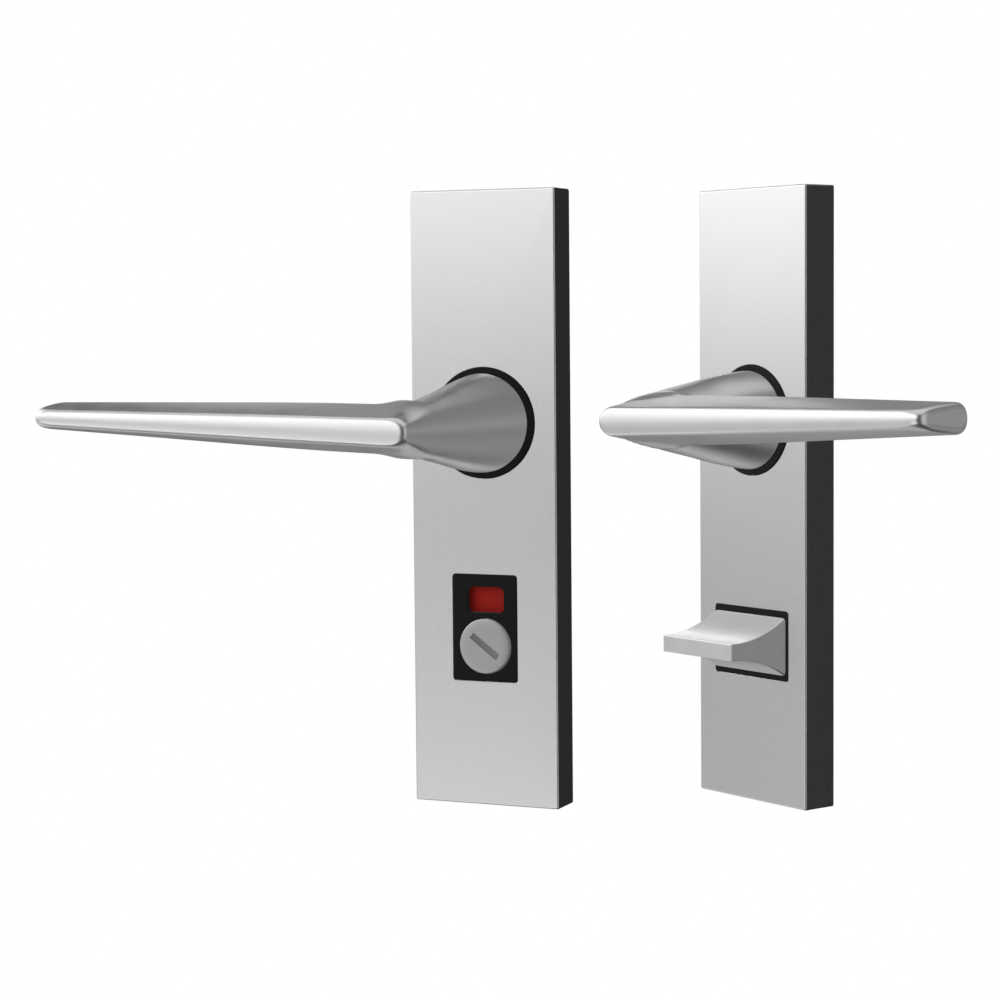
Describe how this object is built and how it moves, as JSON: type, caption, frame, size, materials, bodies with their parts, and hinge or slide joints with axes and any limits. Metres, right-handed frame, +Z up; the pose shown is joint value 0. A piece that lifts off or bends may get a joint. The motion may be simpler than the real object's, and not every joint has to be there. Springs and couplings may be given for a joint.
{
  "type": "privacy door lever handle set",
  "caption": "Privacy door lever set on flat rectangular plates: an outside half with occupancy window and coin release, and an inside half with a thumb turn.",
  "frame": {"origin": "on the outside lever's axis at the face of the door, where the outside half's back rests", "axes": "+Z up along the plates, -Y out of the door on the outside half, +X to the right seen from the front of the outside half; the inside half stands beside it, turned 30 degrees about Z"},
  "size_m": [0.2502, 0.1177, 0.165],
  "materials": {
    "plate": "satin anodised, fine vertical brushed grain",
    "lever": "fine blasted and satin anodised",
    "steel": "zinc plated",
    "spring_steel": "spring steel, plain",
    "black_plastic": "black nylon, fine moulded texture",
    "indicator_white": "moulded",
    "indicator_red": "printed foil"
  },
  "bodies": {
    "root": {"outside_cover": "plate", "outside_backplate": "steel", "outside_clip_upper": "spring_steel", "outside_clip_lower": "spring_steel", "outside_bush": "black_plastic", "outside_wave_washer": "spring_steel", "outside_spring_housing": "steel", "outside_return_spring": "spring_steel", "outside_insert": "black_plastic", "inside_cover": "plate", "inside_backplate": "steel", "inside_clip_upper": "spring_steel", "inside_clip_lower": "spring_steel", "inside_bush": "black_plastic", "inside_wave_washer": "spring_steel", "inside_spring_housing": "steel", "inside_return_spring": "spring_steel", "inside_insert": "black_plastic", "outside_post_upper": "steel", "outside_post_lower": "steel", "inside_screw_upper": "steel", "inside_screw_lower": "steel", "release_detent_ball": "steel", "release_detent_spring": "spring_steel", "snib_detent_ball": "steel", "snib_detent_spring": "spring_steel"},
    "outside_handle": {"outside_lever": "lever", "outside_spindle": "steel", "outside_grub_screw": "steel", "outside_circlip": "spring_steel", "outside_spring_cam": "steel"},
    "inside_handle": {"inside_lever": "lever", "inside_spindle": "steel", "inside_grub_screw": "steel", "inside_circlip": "spring_steel", "inside_spring_cam": "steel"},
    "release": {"coin_release": "lever", "indicator_wheel": "indicator_white", "indicator_flag": "indicator_red", "release_circlip": "spring_steel"},
    "thumb_turn": {"snib": "lever", "snib_tail": "steel", "snib_circlip": "spring_steel"}
  },
  "joints": [
    {"name": "outside_lever_turn", "type": "hinge", "parent": "root", "child": "outside_handle", "pos_m": [0, 0, 0], "axis": [0, -1, 0], "range_deg": [0, 45], "stiffness_Nm_per_rad": 0.5, "springref_deg": -28.65, "deforming": ["outside_return_spring"]},
    {"name": "inside_lever_turn", "type": "hinge", "parent": "root", "child": "inside_handle", "pos_m": [0.0697, 0.0307, 0], "axis": [0.5, 0.866, 0], "range_deg": [0, 45], "stiffness_Nm_per_rad": 0.5, "springref_deg": -28.65, "deforming": ["inside_return_spring"]},
    {"name": "coin_release_turn", "type": "hinge", "parent": "root", "child": "release", "pos_m": [0, 0, -0.06], "axis": [0, -1, 0], "range_deg": [0, 90]},
    {"name": "snib_turn", "type": "hinge", "parent": "root", "child": "thumb_turn", "pos_m": [0.0697, 0.0307, -0.06], "axis": [0.5, 0.866, 0], "range_deg": [0, 90]}
  ]
}
